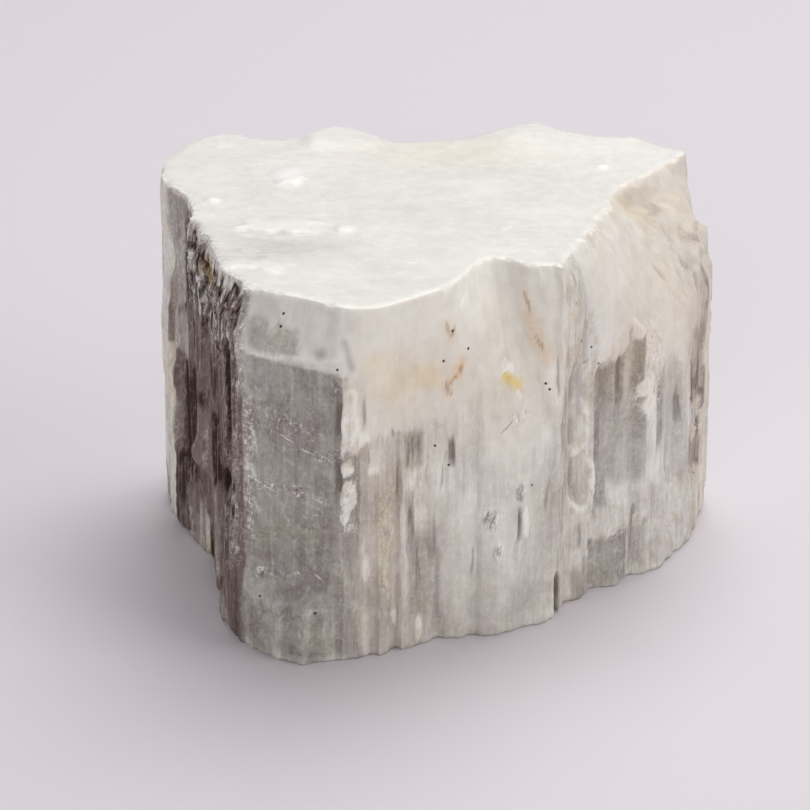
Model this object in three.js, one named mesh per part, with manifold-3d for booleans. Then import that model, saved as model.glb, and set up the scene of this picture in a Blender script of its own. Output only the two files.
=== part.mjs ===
// A block of fibrous selenite, the silky kind of gypsum, broken from a seam and resting on its sawn foot.
// It is one natural solid: straight walls of parallel upright blades, a broken rim and a gently uneven top.
// Millimetres, +Z up along the fibres, -Y towards the front, origin in the middle of the footprint box.
import * as THREE from "three";
import { mergeVertices } from "three/addons/utils/BufferGeometryUtils.js";
import Module from "manifold-3d";

const wasm = await Module();
wasm.setup();

// Driving dimensions.
const HEIGHT = 55; // foot to the top face
const ABOVE = 12; // how far cutting solids reach past the block
const BELOW = -3; // lower end of a cut that runs out through the foot
const TOP_RELIEF = 0.7; // deepest hollow of the top face
const BLADE_SEED = 11;
const COLOUR = 0xd6d0c8;

// Plan outline of the walls, anticlockwise from the left end, x to the right and y to the back.
const OUTLINE = [
  [-36.2, 24], [-35.6, 18.7], [-33, 13.5], [-31.8, 8], [-31.2, 2], [-28.6, -7], [-27.4, -11],
  [-26.6, -16.8], [-24.4, -22.5], [-22, -26], [-18.5, -28.4], [-15, -30.2], [-7, -28.9],
  [-2.8, -27.9], [-1.7, -26.3], [1.5, -24.7], [4.3, -22.9], [9.5, -21.8], [13.8, -20.9],
  [20, -17.4], [22.8, -15], [23, -12.3], [26.3, -10], [27.4, -7.6], [30.8, -6.1], [34.2, -3],
  [38.6, 0.6], [39, 3], [41.5, 6.1], [43.2, 9.9], [45.6, 18.7], [46, 25], [43.5, 29.5],
  [36.5, 33.6], [28.5, 36.2], [19, 38.9], [13, 37.8], [5, 35.4], [-0.8, 34.6], [-4, 36.6],
  [-11.3, 39.6], [-15.5, 36.9], [-23.5, 35.6], [-27, 37.9], [-31, 36.8], [-34.4, 32.4],
];

// The broken rim. Each facet lies outside the line from one rim point to the next, and falls by
// `drop` over an outward run of `run`.
const RIM_FACETS = [
  { from: [-26.8, -13], to: [-21.3, -21], run: 3.5, drop: 9 },
  { from: [-22.4, -20.3], to: [-13.6, -24.1], run: 6.5, drop: 9 },
  { from: [-15, -23.4], to: [-6.4, -28.6], run: 4, drop: 9 },
  { from: [0.5, -25.4], to: [6.2, -19], run: 4, drop: 13 },
  { from: [5.6, -19.6], to: [13, -10], run: 8, drop: 20 },
  { from: [12.4, -10.2], to: [17, -10.4], run: 9.5, drop: 21 },
  { from: [16.3, -9.6], to: [17.6, -13.4], run: 5, drop: 14 },
  { from: [16.8, -13.4], to: [21.9, -13.6], run: 4, drop: 9 },
  { from: [21.6, -14], to: [25.6, -3], run: 6, drop: 14 },
  { from: [25.2, -4.4], to: [30.4, 12.4], run: 9.5, drop: 17 },
  { from: [29.6, 10.6], to: [30.8, 18.8], run: 11, drop: 14 },
  { from: [30.2, 18.2], to: [37, 24], run: 10, drop: 11 },
  { from: [36, 23.2], to: [44.4, 29.2], run: 6, drop: 9 },
];

// Flat cleavage windows and missing slabs, each a box of the walls taken away between two heights.
// The box lies outside the line `from` to `to`.
const WINDOWS = [
  { from: [-24.3, -22.2], to: [-8.6, -29.2], low: 10.5, high: 46 }, // front-left cleavage face
  { from: [22.6, -9.6], to: [27.2, -6.4], low: 17, high: 37 }, // right windows
  { from: [27.6, -5.6], to: [33.8, -1.2], low: 12, high: 40 },
  { from: [30.2, -5.4], to: [36.4, 0.2], low: 1.5, high: 9.5 },
  { from: [36.6, 0.6], to: [39.6, 4.6], low: 14, high: 33 },
  { from: [17.4, -17.4], to: [21, -15.2], low: 1, high: 24 }, // blade gaps beside the foot notch
  { from: [-0.4, -24.6], to: [3.2, -22.4], low: 12, high: 33 },
  { from: [5.2, -21.6], to: [8.4, -21.2], low: 22, high: 31 },
  { from: [42.4, 11.4], to: [43.4, 15.6], low: 8, high: 42 }, // groove before the last right column
  { from: [-31.6, 13.4], to: [-30.9, 8.4], low: 8, high: HEIGHT + 2 }, // grooves of the left wall
  { from: [-30.4, 4], to: [-29.6, 0.4], low: 20, high: HEIGHT + 2 },
  { from: [-31.9, 10.4], to: [-28.3, 3], low: BELOW, high: 12 }, // undercut foot of the left wall
  { from: [-28.7, 4], to: [-27.5, -8], low: BELOW, high: 16 },
  { from: [-27.4, -6.8], to: [-26.7, -11], low: 24, high: HEIGHT + 2 },
  { from: [14, 37.2], to: [4, 34.4], low: BELOW, high: 30 }, // back
  { from: [-13, 36.6], to: [-24, 34.6], low: 9, high: HEIGHT + 2 },
  { from: [33, 32.6], to: [22, 35.6], low: 20, high: HEIGHT + 2 },
];

// Slabs split off the walls at random: none is deeper than BLADE_DEPTH.
const BLADE_WIDTH = [1.2, 5.2];
const BLADE_DEPTH = [0.25, 1.5];
const BLADE_ROUNDS = 2;
const BLADE_OVERHANG = 3; // how far a slab's cutting box stands out of the wall
const BLADE_TILT = 0.5; // largest tilt of its broken end, in radians
const THIN_ROOF = 5; // a slab that ends nearer the top than this runs out through it

// Thin flakes lifted off the top face: centre, half sizes, turn and depth.
const TOP_FLAKES = [
  { at: [-12, 3], half: [7, 5.5], turn: 0.3, depth: 0.5 },
  { at: [9, 10], half: [9, 4], turn: -0.5, depth: 0.4 },
  { at: [-22, 22], half: [6, 8], turn: 0.7, depth: 0.45 },
  { at: [24, 26], half: [8, 5], turn: 0.15, depth: 0.4 },
];

// A repeatable stream of numbers from 0 to 1.
function stream(seed) {
  let state = seed;
  return () => {
    state = (state * 16807) % 2147483647;
    return state / 2147483647;
  };
}

function between([low, high], share) {
  return low + (high - low) * share;
}

// A closed three.js geometry as a manifold solid.
function solid(geometry) {
  const bare = geometry.clone();
  bare.deleteAttribute("normal");
  bare.deleteAttribute("uv");
  const merged = mergeVertices(bare, 1e-4);
  return new wasm.Manifold(
    new wasm.Mesh({
      numProp: 3,
      vertProperties: merged.attributes.position.array,
      triVerts: new Uint32Array(merged.index.array),
    }),
  );
}

// A manifold solid as a three.js geometry.
function geometryOf(shape) {
  const mesh = shape.getMesh();
  return new THREE.BufferGeometry()
    .setAttribute("position", new THREE.BufferAttribute(mesh.vertProperties, 3))
    .setIndex(new THREE.BufferAttribute(mesh.triVerts, 1));
}

function points(pairs) {
  return pairs.map(([x, y]) => new THREE.Vector2(x, y));
}

// The frame of a wall line: x outwards, y up, z back along the line, with its origin at `to`.
function wallFrame(from, to) {
  const along = new THREE.Vector3(to[0] - from[0], to[1] - from[1], 0).normalize();
  const outward = new THREE.Vector3(along.y, -along.x, 0);
  const up = new THREE.Vector3(0, 0, 1);
  return new THREE.Matrix4()
    .makeBasis(outward, up, along.clone().negate())
    .setPosition(to[0], to[1], 0);
}

function lineLength(from, to) {
  return Math.hypot(to[0] - from[0], to[1] - from[1]);
}

// Everything above and outside one sloping facet of the rim.
function rimCutter({ from, to, run, drop }) {
  const profile = points([
    [-run * 0.3, HEIGHT + drop * 0.3],
    [run * 2, HEIGHT - drop * 2],
    [run * 2, HEIGHT + drop * 0.3],
  ]);
  const wedge = new THREE.ExtrudeGeometry(new THREE.Shape(profile), {
    depth: lineLength(from, to),
    bevelEnabled: false,
  });
  return solid(wedge.applyMatrix4(wallFrame(from, to)));
}

// A box outside one wall line, between two heights, with slanting broken ends.
function windowCutter({ from, to, low, high }) {
  const slant = Math.min(1.2, (high - low) * 0.2);
  const profile = points([
    [0, low + slant],
    [slant, low],
    [ABOVE, low - ABOVE * 0.6],
    [ABOVE, high + ABOVE * 0.4],
    [0, high],
  ]);
  const slab = new THREE.ExtrudeGeometry(new THREE.Shape(profile), {
    depth: lineLength(from, to),
    bevelEnabled: false,
  });
  return solid(slab.applyMatrix4(wallFrame(from, to)));
}

// One slab split off the wall at a distance round the outline.
function bladeCutter(wall, share, width, depth, low, high, tilt) {
  const at = wall.getPointAt(share);
  const along = wall.getTangentAt(share);
  const slab = new THREE.BoxGeometry(depth + BLADE_OVERHANG, width, high - low);
  slab.translate((BLADE_OVERHANG - depth) / 2, 0, 0);
  const place = new THREE.Matrix4()
    .makeTranslation(at.x, at.y, (low + high) / 2)
    .multiply(new THREE.Matrix4().makeRotationZ(Math.atan2(-along.x, along.y)))
    .multiply(new THREE.Matrix4().makeShear(0, tilt, 0, 0, 0, 0));
  return solid(slab.applyMatrix4(place));
}

// Slabs all round the walls: some run the whole height, some end part way.
function bladeCutters(wall) {
  const next = stream(BLADE_SEED);
  const length = wall.getLength();
  const cutters = [];
  for (let round = 0; round < BLADE_ROUNDS; round++) {
    let at = between(BLADE_WIDTH, next());
    while (at < length - BLADE_WIDTH[1]) {
      const width = between(BLADE_WIDTH, next() ** 1.5);
      const depth = between(BLADE_DEPTH, next() ** 2);
      const kind = next();
      const low = kind < 0.4 ? BELOW : between([2, HEIGHT * 0.6], next());
      const end = between([low + 6, HEIGHT + 4], next());
      const high = kind > 0.75 || end > HEIGHT - THIN_ROOF ? HEIGHT + ABOVE / 2 : end;
      const tilt = (next() - 0.5) * 2 * BLADE_TILT;
      cutters.push(bladeCutter(wall, at / length, width, depth, low, high, tilt));
      at += width + between([0.4, 2.5], next());
    }
  }
  return cutters;
}

// Height of the top face.
function topHeight(x, y) {
  const swell = Math.sin(x * 0.11 + 0.6) * Math.cos(y * 0.13 - 0.4);
  const ripple = 0.35 * Math.sin(x * 0.31 + y * 0.23) + 0.25 * Math.sin(y * 0.47 - x * 0.12);
  const bump = 1.1 * Math.exp(-(((x + 11) / 9) ** 2) - ((y - 38) / 4) ** 2);
  return HEIGHT - TOP_RELIEF * (0.5 - 0.3 * swell - 0.3 * ripple) + bump;
}

// Everything above the top face.
function topCutter() {
  const slab = new THREE.BoxGeometry(100, 90, ABOVE, 26, 24, 1);
  slab.translate(5, 5, HEIGHT + ABOVE / 2);
  const place = slab.attributes.position;
  for (let i = 0; i < place.count; i++) {
    if (place.getZ(i) < HEIGHT + ABOVE / 2) {
      place.setZ(i, topHeight(place.getX(i), place.getY(i)));
    }
  }
  return solid(slab);
}

// A shallow tilted box that lifts one flake off the top face.
function flakeCutter({ at, half, turn, depth }) {
  const flake = new THREE.CylinderGeometry(1, 1, 4, 7);
  const place = new THREE.Matrix4()
    .makeTranslation(at[0], at[1], topHeight(at[0], at[1]) - depth + 2)
    .multiply(new THREE.Matrix4().makeRotationZ(turn))
    .multiply(new THREE.Matrix4().makeScale(half[0], half[1], 1))
    .multiply(new THREE.Matrix4().makeRotationX(Math.PI / 2 + 0.04));
  return solid(flake.applyMatrix4(place));
}

function crystalGeometry() {
  const blank = new THREE.ExtrudeGeometry(new THREE.Shape(points(OUTLINE)), {
    depth: HEIGHT + 4,
    bevelEnabled: false,
  });
  const wall = new THREE.Path().setFromPoints(points([...OUTLINE, OUTLINE[0]]));
  const cutters = [
    ...RIM_FACETS.map(rimCutter),
    ...WINDOWS.map(windowCutter),
    ...bladeCutters(wall),
    topCutter(),
    ...TOP_FLAKES.map(flakeCutter),
  ];
  const block = cutters.reduce((left, cutter) => left.subtract(cutter), solid(blank));
  const largest = block.decompose().sort((a, b) => b.volume() - a.volume())[0];
  const geometry = geometryOf(largest);
  geometry.computeBoundingBox();
  const middle = geometry.boundingBox.getCenter(new THREE.Vector3());
  geometry.translate(-middle.x, -middle.y, 0);
  return geometry;
}

const crystal = new THREE.Mesh(
  crystalGeometry(),
  new THREE.MeshStandardMaterial({ color: COLOUR, roughness: 0.45, metalness: 0 }),
);
crystal.name = "selenite_block";

const group = new THREE.Group();
group.add(crystal);
export default group;
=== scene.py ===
# A rough block of fibrous selenite. Its walls are laths of parallel upright fibres, its top is broken across
# them, and it rests on a flat foot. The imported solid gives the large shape, and this adds the fine relief.
# Plan places are millimetres in the block's own frame: x to the right, y to the back, z up along the fibres.
# A place on the walls is (s, z): s is the way round the block from the near edge of the grey cleavage face,
# to the right round the front, and below 0 along the left wall.
import math
from functools import reduce

import bpy
import numpy as np
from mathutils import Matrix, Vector
from mathutils.bvhtree import BVHTree
from mathutils.geometry import delaunay_2d_cdt


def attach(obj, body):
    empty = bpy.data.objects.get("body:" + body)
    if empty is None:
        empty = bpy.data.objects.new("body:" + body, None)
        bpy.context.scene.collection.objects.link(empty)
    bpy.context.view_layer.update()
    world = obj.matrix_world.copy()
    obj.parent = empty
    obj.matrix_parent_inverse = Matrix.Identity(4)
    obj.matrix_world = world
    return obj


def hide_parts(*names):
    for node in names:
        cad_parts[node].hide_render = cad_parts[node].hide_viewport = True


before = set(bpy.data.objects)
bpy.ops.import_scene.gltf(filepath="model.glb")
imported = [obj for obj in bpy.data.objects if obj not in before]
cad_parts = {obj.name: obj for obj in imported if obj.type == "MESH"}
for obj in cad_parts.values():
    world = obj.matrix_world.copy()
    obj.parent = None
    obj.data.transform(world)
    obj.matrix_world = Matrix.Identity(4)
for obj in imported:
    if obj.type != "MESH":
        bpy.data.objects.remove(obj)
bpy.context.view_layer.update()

MM = 0.001
BLOCK = "selenite_block"
MIDDLE = np.array([2.0, 4.0])  # the plan point that every wall column faces
NEAR_EDGE = math.radians(227.2)  # its direction from the middle: s is 0 there

# How s is measured: round the solid at one height, with its small steps smoothed away.
RING_HEIGHT = 20.0
RING_STEPS = 1440
RING_SMOOTH = 8.0
SEAM = -62.0  # s where the columns start and end, at the back of the left wall

# The mesh: columns of wall points, closer together on the walls that show most, and a grid of top points.
FINE_FROM, FINE_TO = -34.0, 96.0
FINE_STEP, PLAIN_STEP = 0.25, 0.42
ROWS = 94
TOP_STEP = 0.53
TOP_GAP = 0.42  # from the rim to the first top points
FOOT_INSET = 1.4
TOP_HEIGHT = 54.75

# How the walls follow the solid.
CAST_FROM = 90.0
CAST_TOP = 53.5  # rays are cast no higher, so that each one meets a wall
KEEP_STEPS = 0.3  # share of the solid's own blade steps that shows
RIM_INSET = 0.6
ROUND_WALL = 32.0  # a plain round wall, where the noise that wavers the columns is read
TURN_RADIUS = 36.0  # turns a waver in millimetres into an angle


# Repeatable noise ----------------------------------------------------

def scatter(*whole):
    """A number from 0 to 1 for each set of whole numbers, always the same one."""
    mixed = np.zeros(np.broadcast(*whole).shape, dtype=np.uint64)
    for value, prime in zip(whole, (73856093, 19349663, 83492791, 49979687)):
        mixed ^= np.asarray(value, dtype=np.int64).astype(np.uint64) * np.uint64(prime)
    mixed ^= mixed >> np.uint64(13)
    mixed *= np.uint64(1274126177)
    mixed ^= mixed >> np.uint64(16)
    return (mixed & np.uint64(0xFFFFFF)).astype(float) / 0xFFFFFF


def noise(x, y, z, seed):
    """Smooth noise from -1 to 1 that changes over about one unit."""
    x, y, z = np.broadcast_arrays(x, y, z)
    cells = [whole(v) for v in (x, y, z)]
    parts = [v - cell for v, cell in zip((x, y, z), cells)]
    ease = [p * p * (3 - 2 * p) for p in parts]
    total = np.zeros(x.shape)
    for corner in range(8):
        ends = [(corner >> axis) & 1 for axis in range(3)]
        share = np.ones(x.shape)
        for end, eased in zip(ends, ease):
            share = share * (eased if end else 1 - eased)
        total += share * scatter(cells[0] + ends[0], cells[1] + ends[1], cells[2] + ends[2], seed)
    return total * 2 - 1


def rough_noise(x, y, z, seed, octaves=3):
    """Noise with finer noise on it, from about -1 to 1."""
    total, size, most = 0.0, 1.0, 0.0
    for octave in range(octaves):
        scale = 2.03 ** octave
        total = total + size * noise(x * scale, y * scale, z * scale, seed + octave)
        most += size
        size *= 0.5
    return total / most


def step(value, low, high):
    """0 below low, 1 above high, and a smooth rise between them."""
    share = np.clip((value - low) / (high - low), 0, 1)
    return share * share * (3 - 2 * share)


def window(value, low, full, fading, high):
    """0 below low, 1 from full to fading, and 0 again above high."""
    return step(value, low, full) * (1 - step(value, fading, high))


def whole(value):
    """The whole numbers at or below value."""
    return np.floor(value).astype(np.int64)


# The large shape -----------------------------------------------------

def solid_tree(name):
    """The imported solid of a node, in millimetres, ready for rays."""
    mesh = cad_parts[name].data
    corners = [v.co / MM for v in mesh.vertices]
    return BVHTree.FromPolygons(corners, [tuple(face.vertices) for face in mesh.polygons])


SOLID = solid_tree(BLOCK)


def wall_radius(angle, height):
    """How far from the middle the solid's wall stands in one direction, at one height."""
    way = Vector((math.cos(angle), math.sin(angle), 0))
    start = Vector((MIDDLE[0], MIDDLE[1], height)) + way * CAST_FROM
    place = SOLID.ray_cast(start, -way)[0]
    return math.hypot(place.x - MIDDLE[0], place.y - MIDDLE[1])


def plan_place(radius, angles):
    """The plan place at a distance from the middle, in each direction."""
    return MIDDLE[0] + radius * np.cos(angles), MIDDLE[1] + radius * np.sin(angles)


def smoothed(values, width, axis, wrap):
    """values blurred along one axis by a bell of that many samples."""
    reach = int(width * 3) + 1
    bell = np.exp(-0.5 * (np.arange(-reach, reach + 1) / width) ** 2)
    bell /= bell.sum()
    padding = [(0, 0)] * values.ndim
    padding[axis] = (reach, reach)
    if wrap:
        padded = np.pad(values, padding, mode="wrap")
    else:
        padded = np.pad(values, padding, mode="reflect", reflect_type="odd")
    length = values.shape[axis]
    return sum(weight * np.take(padded, range(i, i + length), axis) for i, weight in enumerate(bell))


def ring():
    """Directions round the block and the distance s at each."""
    angles = NEAR_EDGE + np.arange(RING_STEPS + 1) / RING_STEPS * 2 * math.pi
    radii = np.array([wall_radius(angle, RING_HEIGHT) for angle in angles[:-1]])
    radii = smoothed(radii, RING_SMOOTH, 0, True)
    radii = np.append(radii, radii[0])
    x, y = radii * np.cos(angles), radii * np.sin(angles)
    return angles, np.append(0, np.cumsum(np.hypot(np.diff(x), np.diff(y))))


RING_ANGLES, RING_DISTANCES = ring()
ROUND = RING_DISTANCES[-1]


def direction_at(s):
    """The direction from the middle at a distance s round the walls."""
    return np.interp(s % ROUND, RING_DISTANCES, RING_ANGLES)


def column_places():
    """s of each column of the wall mesh, closer together where the walls show most."""
    places, s = [], SEAM
    while s < SEAM + ROUND - PLAIN_STEP / 2:
        places.append(s)
        s += FINE_STEP if FINE_FROM < s < FINE_TO else PLAIN_STEP
    return np.array(places)


def top_height(x, y):
    """Height of the top face: a gentle swell, a raised chunk at the back and a rise at the back right."""
    swell = np.sin(x * 0.11 + 1.14) * np.cos(y * 0.13 + 0.21)
    ripple = 0.35 * np.sin(x * 0.31 + y * 0.23 + 2.6) + 0.25 * np.sin(y * 0.47 - x * 0.12 + 1.62)
    chunk = 0.85 * step(x, -21.5, -18.2) * (1 - step(x, -9.3, -8.3)) * step(y, 24, 29)
    chunk = chunk * (1 - 0.5 * step(x, -14.5, -9.0))
    back_right = 1.05 * step(x, 2, 12) * (1 - step(x, 28, 36)) * step(y, 17, 31)
    return TOP_HEIGHT + 0.2 * swell + 0.2 * ripple + chunk + back_right


# Patches of the walls ------------------------------------------------

def blades(x, y, width, seed):
    """The upright blade at each plan point: its column and row number, and the way from its middle."""
    across, back = x / width, y / width
    first_column, first_row = whole(across), whole(back)
    nearest = np.full(x.shape, np.inf)
    found = (first_column, first_row, across, back)
    for i in (-1, 0, 1):
        for j in (-1, 0, 1):
            column, row = first_column + i, first_row + j
            off_x = across - column - scatter(column, row, seed)
            off_y = back - row - scatter(column, row, seed + 1)
            gap = np.hypot(off_x, off_y)
            nearer = gap < nearest
            nearest = np.where(nearer, gap, nearest)
            found = [np.where(nearer, new, old) for new, old in zip((column, row, off_x, off_y), found)]
    return found


class Wall:
    """The wall points: s, z, plan place and depth below the rim of each, and the patches laid on them."""

    def __init__(self, s, z, x, y, rim):
        self.s, self.z, self.x, self.y = s, z, x, y
        self.below = rim - z
        self.waver_s = self.rough(0.45, 0.45, 0.22, 40)
        self.waver_z = self.rough(0.55, 0.55, 0.16, 50)
        column, row = blades(x, y, 1.2, 60)[:2]
        self.ends = 2 * scatter(column, row, 62) - 1 + 0.5 * self.waver_z

    def rough(self, x, y, z, seed, octaves=3):
        """Rough noise on the wall, at so many features a millimetre each way."""
        return rough_noise(self.x * x, self.y * y, self.z * z, seed, octaves)

    def patch(self, left, right, low, high, edge=0.35, ragged=0.5, fall=None, comb=0.5, lean=0.0):
        """1 inside a stretch of wall and 0 outside. Its sides waver, and each lath ends at its own height."""
        s = self.s + ragged * self.waver_s
        z = self.z + comb * self.ends + lean * (self.s - left)
        fall = fall or edge * 2
        across = window(s, left - edge, left + edge, right - edge, right + edge)
        return across * window(z, low - fall, low + fall, high - fall, high + fall)

    def spot(self, s, z, half_s, half_z, ragged=0.5):
        """1 at a place, falling to 0 at its edge."""
        ds = (self.s + ragged * self.waver_s - s) / half_s
        dz = (self.z + 1.5 * ragged * self.waver_z - z) / half_z
        return np.clip(1 - (ds * ds + dz * dz), 0, 1)

    def lump(self, s, z, half_s, half_z, ragged=0.35):
        """The height of a rounded lump, from 1 at its middle to 0 at its crisp edge."""
        return np.sqrt(self.spot(s, z, half_s, half_z, ragged))

    def streak(self, start, end, half, ragged=0.6):
        """1 along a line from one (s, z) to another, falling to 0 at its sides."""
        run, rise = end[0] - start[0], end[1] - start[1]
        s = self.s + ragged * self.waver_s - start[0]
        z = self.z + ragged * self.waver_z - start[1]
        along = np.clip((s * run + z * rise) / (run * run + rise * rise), 0, 1)
        return np.clip(1 - np.hypot(s - along * run, z - along * rise) / half, 0, 1)

    def painted(self, base, *rows):
        """base with each row painted over it in turn. A row is a level and a mask, or a level and a patch."""
        for level, *place in rows:
            mask = place[0] if len(place) == 1 else self.patch(*place)
            base = base + (level - base) * mask
        return base


def strongest(*masks):
    """The greatest of several masks at each point."""
    return np.maximum.reduce(masks)


def any_of(kind, rows):
    """The greatest of several patches, spots, lumps or streaks. A row is a strength and its numbers."""
    return strongest(*(strength * kind(*place) for strength, *place in rows))


def laths(wall, width, length, seed):
    """The blades of one width, each broken across here and there: a depth from 0 to 1 for each piece."""
    column, row, off_x, off_y = blades(wall.x, wall.y, width, seed)
    lengths = length * (0.4 + 1.2 * scatter(column, row, seed + 2))
    level = whole((wall.z + wall.waver_z) / lengths + 9 * scatter(column, row, seed + 3))
    depth = scatter(column, row, level, seed + 4)
    turn = 2 * math.pi * scatter(column, row, level, seed + 5)
    return depth * 0.8 + 0.5 * (off_x * np.cos(turn) + off_y * np.sin(turn))


# Patches: a strength, the s of both sides, the low and high end, and then how they waver.
SMOOTH = (
    (1, 17.2, 24.5, 34.6, 60, 0.7, 0.9, 0.8, 0.6), (1, 24, 31, 35.6, 60, 0.7, 0.9, 0.8, 0.6),
    (1, 30.5, 50, 36.5, 60, 0.8, 1, 3, 1.6), (0.8, 37, 46.5, 27, 60, 1, 1, 2, 1),
    (0.9, 57.5, 86, 45, 60, 1.2, 1, 2, 1), (1, 59, 83, 41, 60, 1.5, 0.5, 1.2, 0.6),
    (1, 82, 104, 44, 60, 1.5, 0.5, 4, 6), (1, 60, 66.5, 35.4, 60, 0.4, 0.4, 0.8, 0.5, -0.4),
    (1, 69.2, 83, 32.5, 60, 0.4, 0.5, 1.2, 0.8), (0.9, -0.6, 19, 46, 60, 0.5, 0.6, 0.5, 0.1, 0.08),
    (0.9, 16, 19, 42, 60, 0.4, 0.6, 0.8, 0.3),
)
CLEAVAGE = (
    (1, 0.1, 14.9, 9.3, 45.7, 0.2, 0.15, 0.4, 0.15, 0.08),
    (1, 60.7, 66.2, 15, 34.4, 0.2, 0.2, 0.4, 0.5, -0.45), (1, 66.3, 69, 22, 40.4, 0.2, 0.2, 0.5, 0.5),
    (1, 62, 69.8, 14, 24, 0.3, 0.3, 1, 1), (1, 71.2, 74.6, 16, 28, 0.3, 0.35, 2, 2),
    (1, 58.8, 66.6, 0.8, 6.9, 0.3, 0.3, 0.35, 0.4),
)
CRUMBLED = (
    (1, -37, -6, 40, 60, 2, 1.6, 4, 3), (1, -10, -1.2, 44, 60, 1, 1, 4, 3),
)


def smooth_zones(wall):
    """Where the broken slope below the rim is smooth and milky, with hardly a lath showing."""
    return any_of(wall.patch, SMOOTH)


def cleavage_faces(wall):
    """The flat glassy faces."""
    return any_of(wall.patch, CLEAVAGE)


def crumbled_zone(wall):
    """The hackly broken part of the left wall, below the rim."""
    return any_of(wall.patch, CRUMBLED)


# Raised lumps: how high each stands, s, z, half width and half height.
KNOBS = (
    (0.8, 17.6, 35.2, 1.3, 1.2), (0.8, 15.6, 30.4, 1, 1.1), (1, 15.6, 26, 1.3, 2.6),
    (0.8, 15.2, 22.8, 0.8, 0.9), (0.7, 67.8, 39.9, 0.9, 1.6), (1, 69.3, 30.6, 1.1, 1.5),
    (0.8, 70.2, 27.6, 1.3, 1.9), (0.4, 18, 14.8, 0.6, 2.4), (0.4, 43.6, 16.8, 0.8, 2.6),
    (0.16, 13.6, 4.6, 0.8, 1.6), (0.14, 14.6, 2.2, 1.2, 1.5), (0.4, 27, 3, 0.6, 2.4),
    (0.35, 22.4, 5.4, 0.5, 1.8), (0.4, 33.9, 51.4, 0.9, 0.9), (0.4, 41.2, 40.4, 1.2, 0.8),
)


def knobs(wall):
    """Raised lumps, mostly on the white ridge beside the grey face. Millimetres outwards."""
    lumpy = 0.7 + 0.3 * rough_noise(wall.s * 0.7, wall.z * 0.5, 0, 61)
    upper = wall.patch(15, 17.2, 33, 42, 0.3, 0.7, 0.6, 0.5, 0.25)
    return lumpy * 0.9 * strongest(upper, any_of(wall.lump, KNOBS))


# Grooves: s, half width, low and high end, and depth.
GROOVES = (
    (-43.5, 0.5, 26, 36, 0.7), (-43.6, 0.5, 47, 50, 0.6), (-40, 2.4, 12, 28, 0.9),
    (-33.5, 3, 13, 27, 0.6), (-31, 2.2, 31, 43, 0.8), (-38.6, 0.5, 39, 48, 0.6),
    (-18.6, 2.2, 18.5, 28, 0.9), (-15, 0.8, 3, 42, 0.8), (-9.5, 0.6, 10, 42, 0.8),
    (-4.6, 0.4, 9, 46, 0.6), (-3.1, 0.3, 12, 44, 0.4), (-2.2, 0.35, 0, 44, 0.5), (-5.5, 1.4, 22, 26, 1),
    (14.5, 0.35, 35.5, 41, 0.6), (14.3, 0.4, 26, 31.5, 0.6), (15.9, 0.4, 22.4, 24, 0.4),
    (24.5, 0.3, 18, 34, 0.4), (25.5, 0.25, 16, 23, 0.4), (31.7, 0.3, 28, 32.4, 0.5),
    (42.2, 0.3, 14.5, 19.5, 0.45), (49.7, 0.7, -4, 6.8, 1), (60.5, 0.35, 14, 37, 0.5),
    (62.5, 0.3, 13, 17, 0.4), (65.1, 0.3, 24, 40, 0.4), (68.6, 0.5, 8, 11.5, 0.5),
    (79.3, 0.5, 23, 30, 0.7), (85.5, 2.6, 11.5, 19, 0.7), (86, 2.6, 21.5, 30, 0.6),
)


def grooves(wall):
    """Narrow slots between blades. Millimetres inwards."""
    depth = 0.0
    for s, half, low, high, deep in GROOVES:
        depth = depth + deep * wall.patch(s - half, s + half, low, high, 0.22, 0.25, 1.5)
    return depth


def broken_ledge(wall):
    """The thin chunk that has come away below the rim at the right end. Millimetres inwards."""
    foot = 50.8 + 0.5 * wall.waver_z + 0.3 * wall.ends
    reach = window(wall.s, 84, 93, 97, 102)
    return reach * (1.0 + 0.15 * (54.5 - wall.z)) * step(wall.z, foot, foot + 0.7)


def shell_breaks(wall):
    """Curved steps where the milky slope breaks off over the laths. Millimetres inwards."""
    crest = 31.5 + 3.6 * step(wall.s, 38.2, 44.0) + 0.5 * wall.waver_z
    below = window(wall.z, crest - 6, crest, crest - 0.35, crest)
    curved = below * step(wall.s, 37.6, 38.6) * (1 - step(wall.s, 43.5, 47.5))
    return 0.5 * curved - 0.5 * loop_edges(wall)


def loop_edges(wall):
    """1 along two curved shell edges on the right, one hanging below the other."""
    edges = 0.0
    for s, z, half_s, half_z, part in ((57.0, 27.2, 2.2, 4.4, 0.5), (57.0, 19.0, 3.3, 4.4, 1.0)):
        away = np.hypot((wall.s - s) / half_s, (wall.z + 0.5 * wall.waver_z - z) / half_z)
        below = part * step(z + 1.5 - wall.z, -2.0, 1.5)
        edges = np.maximum(edges, window(away, 0.80, 0.92, 1.0, 1.10) * below)
    return edges


def hackle(wall):
    """Small sharp broken marks. From 0 to 1."""
    ridged = 1 - np.abs(wall.rough(0.85, 0.85, 0.6, 71, 4)) * 1.6
    return np.clip(ridged, 0, 1) ** 1.5


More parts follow.
